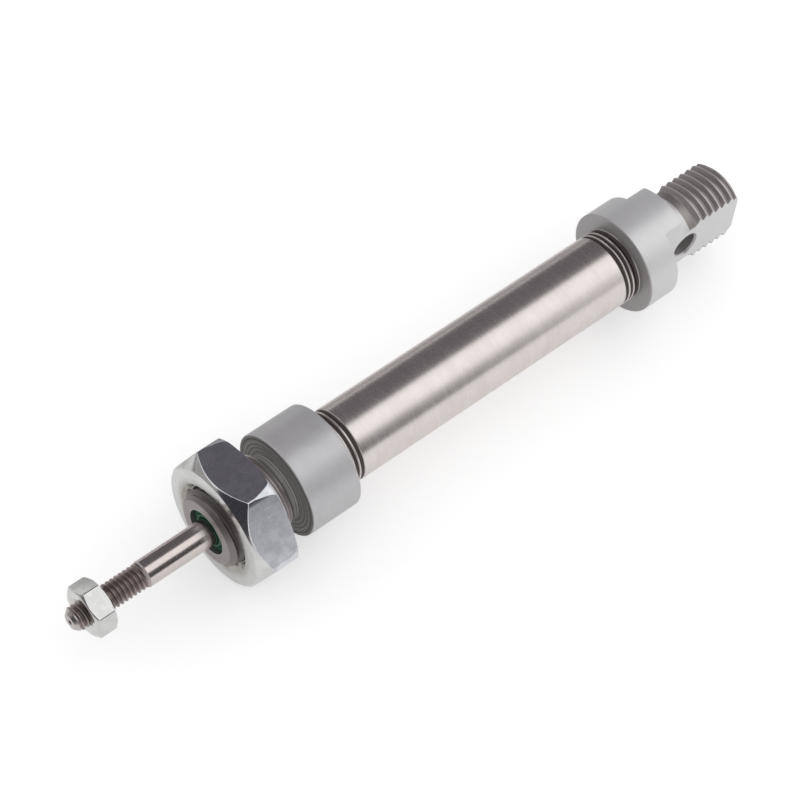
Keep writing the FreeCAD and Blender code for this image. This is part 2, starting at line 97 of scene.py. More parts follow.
# Tapped ports
PORT_MINOR = 2.1 * MM
PORT_MAJOR = 2.5 * MM
PORT_PITCH = 0.8 * MM
PORT_DEPTH = 4 * MM
PORT_LEAD_IN = 0.25 * MM
PORT_THREAD_FLOOR = 0.3 * MM
PORT_THREAD_TOP = 0.35 * MM
PORT_PASSAGE = 1 * MM
SPOT_FACE = 3.5 * MM
SPOT_DEPTH = 0.4 * MM
FRONT_PORT_SETBACK = 4.15 * MM
REAR_PORT_SETBACK = 4.35 * MM

# Tube, with the grooves rolled into each end: distance from the end, half width and depth
TUBE_BORE = 5 * MM
HOOK_LENGTH = 0.5 * MM
HOOK_DEPTH = 0.15 * MM
ROLLED_GROOVES = (
    (0.48 * MM, 0.56 * MM, 0.3 * MM),
    (1.5 * MM, 0.36 * MM, 0.24 * MM),
    (2.36 * MM, 0.4 * MM, 0.26 * MM),
)
GROOVE_FULLNESS = 0.6
TUBE_STATION = 0.05 * MM
TUBE_STATIONS = 64

# Piston rod, from the formed head of its journal to its rounded tip
JOURNAL_HEAD_RADIUS = 2.1 * MM
JOURNAL_HEAD_LENGTH = 1 * MM
JOURNAL_RADIUS = 1.5 * MM
ROD_RADIUS = 2 * MM
ROD_SHOULDER = 0.15 * MM
ROD_CREST = 1.88 * MM
ROD_ROOT = 1.56 * MM
ROD_PITCH = 0.7 * MM
ROD_THREAD = 11.6 * MM
ROD_THREAD_FADE = 0.9 * MM
ROD_THREAD_FILL = 0.6
ROD_TIP_RADIUS = 1.15 * MM
ROD_TIP_FULLNESS = 2.6 * MM
CENTRE_MARK = 0.45 * MM
CENTRE_MARK_DEPTH = 0.8 * MM

# Nuts
HALF_SIDE = math.radians(30)
MOUNT_NUT_APOTHEM = 9.5 * MM
MOUNT_NUT_TURN = math.radians(34.4)
MOUNT_NUT_FACE = MOUNT_NUT_APOTHEM - 0.35 * MM
ROD_NUT_APOTHEM = 3.5 * MM
ROD_NUT_TURN = math.radians(4)
NUT_LEAST_BEVEL = 0.02 * MM
NUT_LEAST_FLANK = 0.1 * MM
NUT_EDGE = 0.14 * MM
NUT_FACE_EDGE = 0.04 * MM
NUT_MOUTH_EDGE = 0.05 * MM
NUT_CORNER_SHARE = 0.45
TRIM_STEPS = 8
TRIM_CROWDING = 0.6

# Thread profile over one pitch: place in the pitch and height between root and crest
THREAD_FORM = ((0, 1), (0.06, 1), (0.12, 1), (0.22, 0.72), (0.34, 0.36), (0.46, 0.04), (0.56, 0),
               (0.66, 0.04), (0.78, 0.36), (0.9, 0.72))

# Places from the frame
tube_low, tube_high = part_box("barrel_tube")
front_low, front_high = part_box("front_cap")
rear_low, rear_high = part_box("rear_cap")
rod_low, rod_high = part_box("piston_rod")
seal_low, seal_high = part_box("rod_seal")
mount_nut_low, mount_nut_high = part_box("mounting_nut")
rod_nut_low, rod_nut_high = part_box("rod_nut")
CAP_RADIUS = front_high.z
TUBE_RADIUS = tube_high.z
REAR_FACE = tube_low.x - REAR_DISC - EYE_BLOCK
FRONT_TIP = front_high.x
ROD_THREAD_START = rod_high.x - ROD_THREAD


# Meshes

def eased(corners, steps=4):
    """A closed outline with its corners rounded. Each corner is (along, radius, rounding)."""
    points = []
    count = len(corners)
    for index, (along, radius, rounding) in enumerate(corners):
        here = Vector((along, radius))
        if not rounding:
            points.append(here)
            continue
        before = Vector(corners[index - 1][:2]) - here
        after = Vector(corners[(index + 1) % count][:2]) - here
        reach = min(rounding, 0.45 * before.length, 0.45 * after.length)
        start, end = here + before.normalized() * reach, here + after.normalized() * reach
        for step in range(steps + 1):
            t = step / steps
            points.append(start * (1 - t) ** 2 + here * (2 * t * (1 - t)) + end * t ** 2)
    return [tuple(point) for point in points]


def thread_stations(angle, start, end, pitch, low_radius, high_radius, limit=None):
    """Points of a right-hand thread at one angle, from start to end along the axis.

    limit(along, radius) gives the radius that is left where the thread fades out.
    """
    stations = []
    for turn in range(-1, math.ceil((end - start) / pitch) + 1):
        for phase, height in THREAD_FORM:
            along = start + pitch * (turn + phase + angle / TURN)
            along = min(max(along, start), end)
            radius = low_radius + (high_radius - low_radius) * height
            stations.append((along, limit(along, radius) if limit else radius))
    return stations


def even_angles(count):
    """Angles all the way round, the same step apart."""
    return [TURN * index / count for index in range(count)]


def in_scene(name, data):
    """A new object in the scene, for a mesh, a lamp or a camera."""
    thing = bpy.data.objects.new(name, data)
    bpy.context.scene.collection.objects.link(thing)
    return thing


def lathe(name, angles, profile, thread=None, closed=True):
    """A piece turned about X. profile(angle) lists the same number of points at every angle.

    thread holds its first and last point in that list. They join one pitch on at the seam, where the helix
    closes.
    """
    columns = [profile(angle) for angle in angles]
    rows = len(columns[0])
    vertices = [
        (along, radius * math.cos(angle), radius * math.sin(angle))
        for angle, column in zip(angles, columns)
        for along, radius in column
    ]

    def across_seam(row):
        if thread and thread[0] <= row <= thread[1]:
            return min(row + len(THREAD_FORM), thread[1])
        return row

    faces = []
    for column in range(len(angles)):
        seam = column == len(angles) - 1
        here, there = column * rows, 0 if seam else (column + 1) * rows
        for row in range(rows if closed else rows - 1):
            following = (row + 1) % rows
            low, high = (across_seam(row), across_seam(following)) if seam else (row, following)
            faces.append((here + row, here + following, there + high, there + low))
    mesh = bpy.data.meshes.new(name)
    mesh.from_pydata(vertices, [], faces)
    clean(mesh)
    return in_scene(name, mesh)


def threaded_lathe(name, count, before, thread, after, closed=True):
    """A piece turned about X with a thread between two plain stretches. thread(angle) lists its points."""
    first = len(before)
    last = first + len(thread(0)) - 1

    def profile(angle):
        return [*before, *thread(angle), *after]
    return lathe(name, even_angles(count), profile, (first, last), closed)


def clean(mesh, nearest=1e-7):
    """Join the points that meet, drop the faces with no area, and turn all faces outwards."""
    shape = bmesh.new()
    shape.from_mesh(mesh)
    bmesh.ops.remove_doubles(shape, verts=shape.verts, dist=nearest)
    bmesh.ops.dissolve_degenerate(shape, edges=shape.edges, dist=nearest)
    bmesh.ops.recalc_face_normals(shape, faces=shape.faces)
    shape.to_mesh(mesh)
    shape.free()


def shade(piece, sharp_from=32):
    """Smooth shading that keeps edges sharper than the angle, with flat faces left flat."""
    piece.data.shade_smooth()
    piece.data.set_sharp_from_angle(angle=math.radians(sharp_from))
    weighted = piece.modifiers.new("even_normals", "WEIGHTED_NORMAL")
    weighted.keep_sharp = True
    return piece


def cut(piece, *cutters):
    """Cut other shapes out of a piece for good."""
    for cutter in cutters:
        step = piece.modifiers.new("cut", "BOOLEAN")
        step.operation = "DIFFERENCE"
        step.solver = "EXACT"
        step.object = cutter
        graph = bpy.context.evaluated_depsgraph_get()
        result = bpy.data.meshes.new_from_object(piece.evaluated_get(graph))
        piece.modifiers.clear()
        piece.data = result
        bpy.data.objects.remove(cutter)
    return piece


def block(low, high):
    """A plain box used only to cut with."""
    shape = bmesh.new()
    place = Matrix.Translation((low + high) / 2) @ Matrix.Diagonal((*(high - low), 1))
    bmesh.ops.create_cube(shape, size=1, matrix=place)
    mesh = bpy.data.meshes.new("cutter")
    shape.to_mesh(mesh)
    shape.free()
    return in_scene("cutter", mesh)


def turned_to(cutter, place_x, axis):
    """Turns a cutter from the cylinder's axis to a square one, and moves it along the cylinder."""
    cutter.data.transform(Matrix.Translation((place_x, 0, 0)) @ Matrix.Rotation(math.pi / 2, 4, axis))
    return cutter


# The pieces' shapes

def make_tube():
    """The barrel with the grooves rolled into both of its ends."""
    stations = []
    for distance in [step * TUBE_STATION for step in range(TUBE_STATIONS)]:
        dip = 0
        for place, half_width, depth in ROLLED_GROOVES:
            off = abs(distance - place) / half_width
            if off < 1:
                dip += depth * (0.5 + 0.5 * math.cos(math.pi * off)) ** GROOVE_FULLNESS
        stations.append((distance, dip))
    outline = [
        *((tube_low.x + distance, TUBE_RADIUS - dip) for distance, dip in stations),
        *((tube_high.x - distance, TUBE_RADIUS - dip) for distance, dip in reversed(stations)),
        (tube_high.x, TUBE_BORE - HOOK_DEPTH),
        (tube_high.x - HOOK_LENGTH, TUBE_BORE),
        (tube_low.x + HOOK_LENGTH, TUBE_BORE),
        (tube_low.x, TUBE_BORE - HOOK_DEPTH),
    ]
    return shade(lathe("barrel_tube_turned", even_angles(192), lambda angle: outline))


def port_cutter(place_x):
    """The shape that a tapped port takes out of a cap, from below."""
    seat = CAP_RADIUS - SPOT_DEPTH
    floor = seat - PORT_DEPTH
    thread_low, thread_high = floor + PORT_THREAD_FLOOR, seat - PORT_THREAD_TOP
    passage_end = 0.3 * BUSH_SEAT
    outside = 1.1 * CAP_RADIUS
    cutter = threaded_lathe(
        "cutter", 96,
        [(passage_end, 0), (passage_end, PORT_PASSAGE), (floor, PORT_PASSAGE), (floor, PORT_MINOR)],
        lambda angle: thread_stations(angle, thread_low, thread_high, PORT_PITCH, PORT_MINOR, PORT_MAJOR),
        [(seat, PORT_MAJOR + PORT_LEAD_IN), (seat, SPOT_FACE), (outside, SPOT_FACE), (outside, 0)],
        closed=False)
    return turned_to(cutter, place_x, "Y")


def plug(shoulder, tip, hole_radius):
    """The part of a cap inside the tube, from its shoulder to its tip, round a hole."""
    direction = math.copysign(1, tip - shoulder)
    nose = tip - direction * NOSE_LENGTH
    return [
        (shoulder, PLUG_RADIUS - HOOK_DEPTH, 0),
        (shoulder + direction * HOOK_LENGTH, PLUG_RADIUS, 0),
        (nose, PLUG_RADIUS, FINE_EDGE),
        (nose, NOSE_RADIUS, 0),
        (tip, NOSE_RADIUS, FINE_EDGE),
        (tip, hole_radius, FINE_EDGE),
    ]


def spigot_thread(neck_end, tip):
    """The points of a cap's thread, which fades into its neck and ends in a chamfered tip."""
    start, end = sorted((neck_end, tip))
    tip_radius = SPIGOT_CREST - SPIGOT_TIP_CHAMFER

    def limit(along, radius):
        fade = min(abs(along - neck_end) / SPIGOT_THREAD_FADE, 1)
        radius = SPIGOT_NECK + (radius - SPIGOT_NECK) * fade * fade * (3 - 2 * fade)
        return min(radius, tip_radius + abs(tip - along))
    return lambda angle: thread_stations(angle, start, end, SPIGOT_PITCH, SPIGOT_ROOT, SPIGOT_CREST, limit)


def make_front_cap():
    """The front cap with its spigot, the seats of bush and seal, and its port."""
    # Each list has a corner more than it needs, so that its first or last rounding has a neighbour.
    before = eased([
        (seal_low.x, BUSH_SEAT, 0),
        *reversed(plug(tube_high.x, front_low.x, BUSH_SEAT)),
        (tube_high.x, CAP_RADIUS, CAP_EDGE),
        (0, CAP_RADIUS, CAP_EDGE),
        (0, SPIGOT_NECK, NECK_CORNER),
        (FRONT_NECK, SPIGOT_NECK, 0),
    ])[1:]
    after = eased([
        (FRONT_TIP, SPIGOT_CREST - SPIGOT_TIP_CHAMFER, 0),
        (FRONT_TIP, SEAL_SEAT, FINE_EDGE),
        (seal_low.x, SEAL_SEAT, 0),
        (seal_low.x, BUSH_SEAT, 0),
    ])[1:]
    piece = threaded_lathe("front_cap_turned", 240, before, spigot_thread(FRONT_NECK, FRONT_TIP), after)
    return shade(cut(piece, port_cutter(-FRONT_PORT_SETBACK)))


def make_rear_cap():
    """The rear cap with its eye: turned, flattened on two sides, cross-drilled, and tapped for its port."""
    neck_end = REAR_FACE - REAR_NECK
    port_at = REAR_FACE + REAR_PORT_SETBACK
    air_end = port_at - PORT_MINOR
    after = eased([
        (neck_end, SPIGOT_NECK, 0),
        (REAR_FACE, SPIGOT_NECK, NECK_CORNER),
        (REAR_FACE, CAP_RADIUS, CAP_EDGE),
        (tube_low.x, CAP_RADIUS, CAP_EDGE),
        *plug(tube_low.x, rear_high.x, AIR_RADIUS),
        (air_end, AIR_RADIUS, 0),
        (air_end, 0, 0),
    ])
    piece = threaded_lathe("rear_cap_turned", 240, [(rear_low.x, 0)], spigot_thread(neck_end, rear_low.x),
                           after, closed=False)
    beyond = 2 * CAP_RADIUS
    flats_end = tube_low.x - REAR_DISC
    sides = [
        block(Vector((rear_low.x - MM, side_low, -beyond)), Vector((flats_end, side_high, beyond)))
        for side_low, side_high in ((EYE_HALF_WIDTH, beyond), (-beyond, -EYE_HALF_WIDTH))
    ]
    drill = [
        (-EYE_HALF_WIDTH - MM, 0),
        (-EYE_HALF_WIDTH - MM, EYE_HOLE + EYE_MOUTH + MM),
        (-EYE_HALF_WIDTH + EYE_MOUTH, EYE_HOLE),
        (EYE_HALF_WIDTH - EYE_MOUTH, EYE_HOLE),
        (EYE_HALF_WIDTH + MM, EYE_HOLE + EYE_MOUTH + MM),
        (EYE_HALF_WIDTH + MM, 0),
    ]
    hole = turned_to(lathe("cutter", even_angles(96), lambda angle: drill, closed=False),
                     REAR_FACE - EYE_SETBACK, "Z")
    return shade(cut(piece, *sides, hole, port_cutter(port_at)))


def make_piston_rod():
    """The rod: formed head, journal through the piston, shaft, and thread with a rounded tip."""
    head_front = rod_low.x + JOURNAL_HEAD_LENGTH
    shaft_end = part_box("front_piston_half")[1].x

    def limit(along, radius):
        fade = min((along - ROD_THREAD_START) / ROD_THREAD_FADE, 1)
        radius = radius + (ROD_CREST - radius) * (1 - fade) * ROD_THREAD_FILL
        return min(radius, math.sqrt(ROD_TIP_RADIUS ** 2 + ROD_TIP_FULLNESS * (rod_high.x - along)))

    def thread(angle):
        return thread_stations(angle, ROD_THREAD_START, rod_high.x, ROD_PITCH, ROD_ROOT, ROD_CREST, limit)
    before = eased([
        (rod_low.x, 0, 0),
        (rod_low.x, JOURNAL_HEAD_RADIUS, 0.2 * MM),
        (head_front, JOURNAL_HEAD_RADIUS, 0.1 * MM),
        (head_front, JOURNAL_RADIUS, 0),
        (shaft_end, JOURNAL_RADIUS, 0),
        (shaft_end, ROD_RADIUS, 0.1 * MM),
        (ROD_THREAD_START - ROD_SHOULDER, ROD_RADIUS, 0.1 * MM),
        (ROD_THREAD_START, ROD_ROOT, 0),
    ])[:-1]
    after = [(rod_high.x, CENTRE_MARK), (rod_high.x - CENTRE_MARK_DEPTH, 0)]
    return shade(threaded_lathe("piston_rod_turned", 144, before, thread, after, closed=False))


def hexagon_angles(turned, steps=25, crowding=1.7):
    """Angles round a hexagon, closer together at its corners."""
    angles = []
    for side in range(6):
        for step in range(1 - steps, steps):
            share = step / steps
            spread = math.copysign(1 - (1 - abs(share)) ** crowding, share)
            angles.append((turned + HALF_SIDE * (2 * side + spread)) % TURN)
    return sorted(angles)


def hexagon_nut(name, low, high, apothem, turned, pitch, bore, thread_depth, countersink, rear_bevel,
                front_bevel, corner_rounding):
    """A hexagon nut with its thread. A bevel is its flat face's radius, and its depth at a radius."""
    rear_face, rear = rear_bevel
    front_face, front = front_bevel
    rounded_from = apothem / math.cos(HALF_SIDE) - corner_rounding

    def thread(angle):
        return thread_stations(angle, low + countersink, high - countersink, pitch, bore + thread_depth, bore)

    def profile(angle):
        from_flat = (angle - turned + HALF_SIDE) % (2 * HALF_SIDE) - HALF_SIDE
        radius = apothem / math.cos(from_flat)
        if radius > rounded_from:
            radius = rounded_from + (radius - rounded_from) * NUT_CORNER_SHARE
        front_at = high - max(front(radius), NUT_LEAST_BEVEL)
        rear_at = low + max(rear(radius), NUT_LEAST_BEVEL)
        if front_at - rear_at < NUT_LEAST_FLANK:
            middle = (front_at + rear_at) / 2
            front_at, rear_at = middle + NUT_LEAST_FLANK / 2, middle - NUT_LEAST_FLANK / 2
        inner = min(rear_face, radius - NUT_LEAST_BEVEL)
        trimmed = [inner + (radius - inner) * (step / TRIM_STEPS) ** TRIM_CROWDING
                   for step in range(1, TRIM_STEPS)]
        outside = eased([
            (low, bore + countersink, NUT_MOUTH_EDGE),
            (low, inner, NUT_FACE_EDGE),
            *((min(low + rear(place), rear_at), place, 0) for place in trimmed),
            (rear_at, radius, NUT_EDGE),
            (front_at, radius, NUT_EDGE),
            (high, min(front_face, radius - NUT_LEAST_BEVEL), NUT_EDGE),
            (high, bore + countersink, NUT_MOUTH_EDGE),
            (high - countersink, bore, 0),
            (low + countersink, bore, 0),
        ])
        # The thread takes the place of the last two corners, the plain bore.
        return [*thread(angle), *reversed(outside[:-2])]
    return shade(lathe(name, hexagon_angles(turned), profile, (0, len(thread(0)) - 1)), 35)


def make_mounting_nut():
    """The large nut: a flat cone at the front, and a slim rounded trim of the corners at the rear."""
    corner = MOUNT_NUT_APOTHEM / math.cos(HALF_SIDE) + 0.08 * MM
    rear_face = MOUNT_NUT_APOTHEM - 0.05 * MM
    front_depth = 2.05 * MM
    rear_slope = 0.35
    trim_from, trim_depth, trim_power = 10.3, 10.2 * MM, 2.38

    def front(radius):
        return front_depth * (radius - MOUNT_NUT_FACE) / (corner - MOUNT_NUT_FACE)

    def rear(radius):
        trim = max(radius / MM - trim_from, 0)
        return rear_slope * (radius - rear_face) + trim_depth * trim ** trim_power
    return hexagon_nut(
        "mounting_nut_hex", mount_nut_low.x, mount_nut_high.x, MOUNT_NUT_APOTHEM, MOUNT_NUT_TURN,
        SPIGOT_PITCH, bore=5.98 * MM, thread_depth=0.35 * MM, countersink=0.88 * MM,
        rear_bevel=(rear_face, rear), front_bevel=(MOUNT_NUT_FACE, front), corner_rounding=0.12 * MM)


def make_rod_nut():
    """The small nut, with the same cone at both ends."""
    face = ROD_NUT_APOTHEM - 0.15 * MM
    cone_angle = math.radians(30)

    def cone(radius):
        return (radius - face) * math.tan(cone_angle)
    return hexagon_nut(
        "rod_nut_hex", rod_nut_low.x, rod_nut_high.x, ROD_NUT_APOTHEM, ROD_NUT_TURN, ROD_PITCH,
        bore=1.93 * MM, thread_depth=0.2 * MM, countersink=0.35 * MM, rear_bevel=(face, cone),
        front_bevel=(face, cone), corner_rounding=0.06 * MM)


def make_rod_seal():
    """The green rod seal with its raised wiper lip."""
    bore, outer = 2.03 * MM, 3.45 * MM
    lip = seal_high.x
    face = lip - 0.35 * MM
    outline = eased([
        (seal_low.x, bore, 0),
        (seal_low.x, outer, 0.15 * MM),
        (face, outer, 0.2 * MM),
        (face - 0.1 * MM, 2.75 * MM, 0.2 * MM),
        (lip, 2.45 * MM, 0.16 * MM),
        (lip - 0.05 * MM, 2.2 * MM, 0.1 * MM),
        (face - 0.3 * MM, bore, 0.05 * MM),
    ])
    return shade(lathe("rod_seal_moulded", even_angles(128), lambda angle: outline), 50)


# Finishes. Their lengths are in millimetres, except a bump's depth, which is in metres.

class Wire:
    """A socket of a finish. Sums on it add Math nodes, and add() makes any other node."""

    def __init__(self, tree, socket=None):
        self.tree = tree
        self.socket = socket

    def add(self, kind, settings=None, inputs=None, output=0):
        """A new node with its settings, and with a value or a wire on each socket named or numbered."""
        node = self.tree.nodes.new(kind)
        for name, setting in (settings or {}).items():
            setattr(node, name, setting)
        for name, given in (inputs or {}).items():
            if isinstance(given, Wire):
                self.tree.links.new(given.socket, node.inputs[name])
            else:
                node.inputs[name].default_value = given
        return Wire(self.tree, node.outputs[output] if node.outputs else None)

    def sum(self, operation, first, second=0.0):
        """One Math node on two values."""
        return self.add("ShaderNodeMath", {"operation": operation}, {0: first, 1: second})

    def __add__(self, other):
        return self.sum("ADD", self, other)

    __radd__ = __add__

    def __sub__(self, other):
        return self.sum("SUBTRACT", self, other)

    def __rsub__(self, other):
        return self.sum("SUBTRACT", other, self)

    def __mul__(self, other):
        return self.sum("MULTIPLY", self, other)

    __rmul__ = __mul__

    def __pow__(self, other):
        return self.sum("POWER", self, other)

    def __abs__(self):
        return self.sum("ABSOLUTE", self)

    def step(self, low, high, from_value=0.0, to_value=1.0):
        """A smooth change from one value to another while this value goes from low to high."""
        return self.add("ShaderNodeMapRange", {"interpolation_type": "SMOOTHSTEP"},
                        {0: self, 1: low, 2: high, 3: from_value, 4: to_value})

    def tint(self, first, second):
        """A colour from the first to the second, as this value goes from 0 to 1."""
        return self.add("ShaderNodeMix", {"data_type": "RGBA"}, {0: self, 6: first, 7: second}, 2)

    def part(self, axis):
        """One coordinate of this place."""
        return self.add("ShaderNodeSeparateXYZ", None, {0: self}, axis)

    def stretch(self, *factors):
        """This place with its coordinates multiplied."""
        return self.add("ShaderNodeVectorMath", {"operation": "MULTIPLY"}, {0: self, 1: factors})

    def noise(self, scale, detail=2.0, roughness=0.5):
        """Soft noise over this place."""
        return self.add("ShaderNodeTexNoise", None,
                        {"Vector": self, "Scale": scale, "Detail": detail, "Roughness": roughness})

    def bump(self, depth):
        """This height as the surface's relief."""
        return self.add("ShaderNodeBump", None, {"Height": self, "Distance": depth, "Strength": 1.0})


def mm(metres):
    """A length of the frame in millimetres."""
    return metres * 1000


def rgb(red, green, blue):
    """A colour as it looks on screen, from 0 to 255, as the shader's linear values."""
    linear = [value / 255 / 12.92 if value <= 10 else ((value / 255 + 0.055) / 1.055) ** 2.4
              for value in (red, green, blue)]
    return (*linear, 1)


def empty_tree(owner):
    """The wire to build a finish or a world with, from nothing."""
    owner.use_nodes = True
    owner.node_tree.nodes.clear()
    return Wire(owner.node_tree)


def new_finish(name):
    """An empty finish, and the place on the piece to build it with."""
    finish = bpy.data.materials.new(name)
    metres = empty_tree(finish).add("ShaderNodeTexCoord", output="Object")
    return finish, metres.stretch(1000, 1000, 1000)


def surface(place, settings):
    """The Principled surface and its output."""
    shader = place.add("ShaderNodeBsdfPrincipled", None, settings)
    place.add("ShaderNodeOutputMaterial", None, {"Surface": shader})


def brushed_round(place, along, around=0.25):
    """Fine lines that run round the axis, as a lathe or a polishing belt leaves them."""
    return place.stretch(along, around, around).noise(1.0, 3.0, 0.65)


def from_axis(place):
    """How far along the cylinder a point lies, and how far from its axis."""
    along, across, up = (place.part(axis) for axis in range(3))
    return along, (across * across + up * up) ** 0.5


def barrel_steel():
    """Stainless tube, polished round and round, warm in tone, with painted shade in its rolled grooves."""
    finish, place = new_finish("barrel_steel")
    fine = brushed_round(place, 14)
    broad = brushed_round(place, 2.2, 0.12)
    tone = fine * 0.2 + broad * 0.4 + place.noise(0.35) * 0.4
    steel = tone.step(0.3, 0.7).tint(rgb(219, 210, 207), rgb(231, 223, 220))

    radius = from_axis(place)[1]
    outer = mm(TUBE_RADIUS)
    # Painted shade in the rolled grooves, which are also made less metallic and rougher
    below_surface = radius.step(outer - 0.16, outer - 0.02, 1, 0)
    outside_bore = radius.step(outer - 0.6, outer - 0.55)
    groove_shade = below_surface * outside_bore
    surface(place, {
        "Base Color": groove_shade.tint(steel, rgb(78, 70, 68)),
        "Metallic": 1.0 - groove_shade * 0.2,
        "Roughness": 0.23 + fine * 0.03 + broad * 0.05 + groove_shade * 0.15,
        "Normal": (fine * 0.5 + broad * 0.5).bump(0.0000012),
    })
    return finish


def satin_alloy():
    """Light alloy with a satin anodised skin, and spigots cut afterwards, darker, with painted highlights on
    their crests.
    """
    finish, place = new_finish("satin_alloy")
    along, radius = from_axis(place)
    from_middle = abs(place.part(1))
    up = place.part(2)
    flats, rear_face = mm(EYE_HALF_WIDTH), mm(REAR_FACE)
    tube_end, tip = mm(tube_low.x), mm(FRONT_TIP)

    # The skin is lighter towards the rear end.
    turned = brushed_round(place, 5, 0.3)
    blast = place.noise(9.0, 3.0, 0.6)
    tone = turned * 0.3 + blast * 0.35 + place.noise(0.4) * 0.35
    skin = tone.step(0.3, 0.7).tint(rgb(191, 190, 192), rgb(203, 201, 203))
    skin = along.step(-73, -40, 0.5, 0).tint(skin, rgb(242, 241, 242))

    # Both spigots are cut through the skin, but the eye's flats are not.
    rear_spigot = along.step(rear_face - 2.3, rear_face - 2.15, 1, 0)
    on_flats = from_middle.step(flats - 0.1, flats - 0.04)
    front_spigot = along.step(0.0, 0.1) * radius.step(3.5, 3.7)
    cut_metal = rear_spigot * (1.0 - on_flats) + front_spigot
    # Painted highlights on the thread crests
    crest_highlight = radius.step(mm(SPIGOT_CREST) - 0.1, mm(SPIGOT_CREST))
    spigot = (crest_highlight * 0.8).tint(rgb(161, 154, 153), rgb(220, 218, 218))

    # Turning rings on the mounting face, and the neck in front of it, both darkened with painted shade where
    # the nut shades them
    at_neck = along.step(-0.12, -0.02) * along.step(1.2, 1.7, 1, 0)
    rings = place.add("ShaderNodeTexNoise", {"noise_dimensions": "1D"},
                      {"W": radius - along * 1.5, "Scale": 1.7, "Detail": 3.0, "Roughness": 0.6})
    shaded_rings = rings.step(0.35, 0.65).tint(rgb(96, 95, 94), rgb(176, 174, 172))
    skin = at_neck.tint(skin, shaded_rings)
    spigot = at_neck.tint(spigot, shaded_rings)

    # Painted shade on a ring where the rear cap meets the tube
    collar_shade = along.step(tube_end - 0.25, tube_end - 0.05) * along.step(tube_end + 0.05, tube_end + 0.1, 1, 0)
    skin = (collar_shade * radius.step(5.0, 5.2) * 0.7).tint(skin, rgb(150, 146, 146))

    # Painted shade on the front thread's end where the nut meets it, less on its chamfer, and painted shade
    # on the seat behind the rod seal
    threads_end = along.step(tip - 3.5, tip - 2.5) * radius.step(4.9, 5.1)
    off_chamfer = along.step(tip - 1.1, tip - 0.8, 0.85, 0.5)
    spigot = (threads_end * off_chamfer).tint(spigot, rgb(92, 88, 85))
    seat = along.step(tip - 2.2, tip - 2.0) * radius.step(3.4, 3.6, 1, 0)
    skin = seat.tint(skin, rgb(70, 72, 70))

    # Bare metal in the hole of the eye
    eye_radius = ((along - mm(REAR_FACE - EYE_SETBACK)) ** 2 + up * up) ** 0.5
    drilled = (eye_radius.step(mm(EYE_HOLE) + 0.02, mm(EYE_HOLE + EYE_MOUTH), 0.9, 0)
               * from_middle.step(flats, flats + 0.02, 1, 0))
    surface(place, {
        "Base Color": drilled.tint(cut_metal.tint(skin, spigot), rgb(182, 179, 178)),
        "Metallic": 0.56 + cut_metal * 0.2 - at_neck * 0.3,
        "Roughness": 0.36 + blast * 0.1 + at_neck * 0.2,
        "Normal": (turned * 0.4 + blast * 0.6).bump(0.000012),
    })
    return finish


def plated_steel():
    """Bright zinc-plated nuts with small pits and scuffs, darker and browner near their threads."""
    finish, place = new_finish("plated_steel")
    wave = place.noise(0.35, 1.0)
    pits = place.noise(2.6, 4.0, 0.7).step(0.61, 0.71)
    scuffs = place.stretch(0.4, 5, 1.2).noise(1.0, 4.0, 0.7).step(0.58, 0.72)
    cloud = place.noise(0.6, 3.0, 0.6)

    # The large nut's flanks, behind its front cone, are a little cooler in tone.
    along, radius = from_axis(place)
    cone_slope = 1.08
    behind_cone = mm(mount_nut_high.x) - along - (radius - mm(MOUNT_NUT_FACE)) * cone_slope
    flank = radius.step(9.3, 9.6) * behind_cone.step(0, 0.1)
    bright = flank.tint(rgb(217, 217, 216), rgb(219, 220, 226))
    dull = flank.tint(rgb(200, 200, 198), rgb(186, 189, 196))
    plate = (pits * 0.5 + cloud.step(0.4, 0.62) * 0.5).tint(bright, dull)
    # Darker and browner on the faces round the bore
    brown_ring = radius.step(6.6, 8.2, 1, 0) * radius.step(4.5, 5.5) * (0.35 + cloud * 0.5)
    surface(place, {
        "Base Color": brown_ring.tint(plate, rgb(140, 132, 118)),
        "Metallic": 1.0,
        "Roughness": 0.12 + cloud * 0.1 + pits * 0.2 + scuffs * 0.12,
        "Normal": (wave * 0.25 - pits * 0.12 + scuffs * 0.05).bump(0.00002),
    })
    return finish


def polished_rod():
    """The ground rod, with a duller thread, darker and browner in its roots, with painted highlights on its
    crests, and a bare tip.
    """
    finish, place = new_finish("polished_rod")
    fine = brushed_round(place, 18)
    ground = place.noise(0.8).tint(rgb(208, 198, 195), rgb(219, 210, 207))

    along, radius = from_axis(place)
    thread_start, tip_end = mm(ROD_THREAD_START), mm(rod_high.x)
    thread = along.step(thread_start - 0.4, thread_start)
    # Painted highlights on the thread's crests, broken up by noise
    crest_highlight = radius.step(mm(ROD_CREST) - 0.12, mm(ROD_CREST)) * (0.2 + place.noise(3.2) * 0.8)
    tip = along.step(tip_end - 0.75, tip_end - 0.5) * radius.step(0.3, 0.5)
    cut_metal = tip.tint(crest_highlight.tint(rgb(136, 123, 121), rgb(206, 196, 193)), rgb(196, 190, 187))
    surface(place, {
        "Base Color": thread.tint(ground, cut_metal),
        "Metallic": 1.0,
        "Roughness": 0.14 + fine * 0.1 + thread * 0.16,
        "Normal": fine.bump(0.000004),
    })
    return finish


def moulded(name, dark, light, roughness, grain=6.0, metallic=0.0, depth=0.00001):
    """A moulded or sintered finish with a fine grain."""
    finish, place = new_finish(name)
    speckle = place.noise(grain, 3.0, 0.6)
    surface(place, {
        "Base Color": (speckle * 0.5 + place.noise(0.7) * 0.5).step(0.35, 0.65).tint(dark, light),
        "Metallic": metallic,
        "Roughness": roughness + speckle * 0.12,
        "Normal": speckle.bump(depth),
    })
    return finish


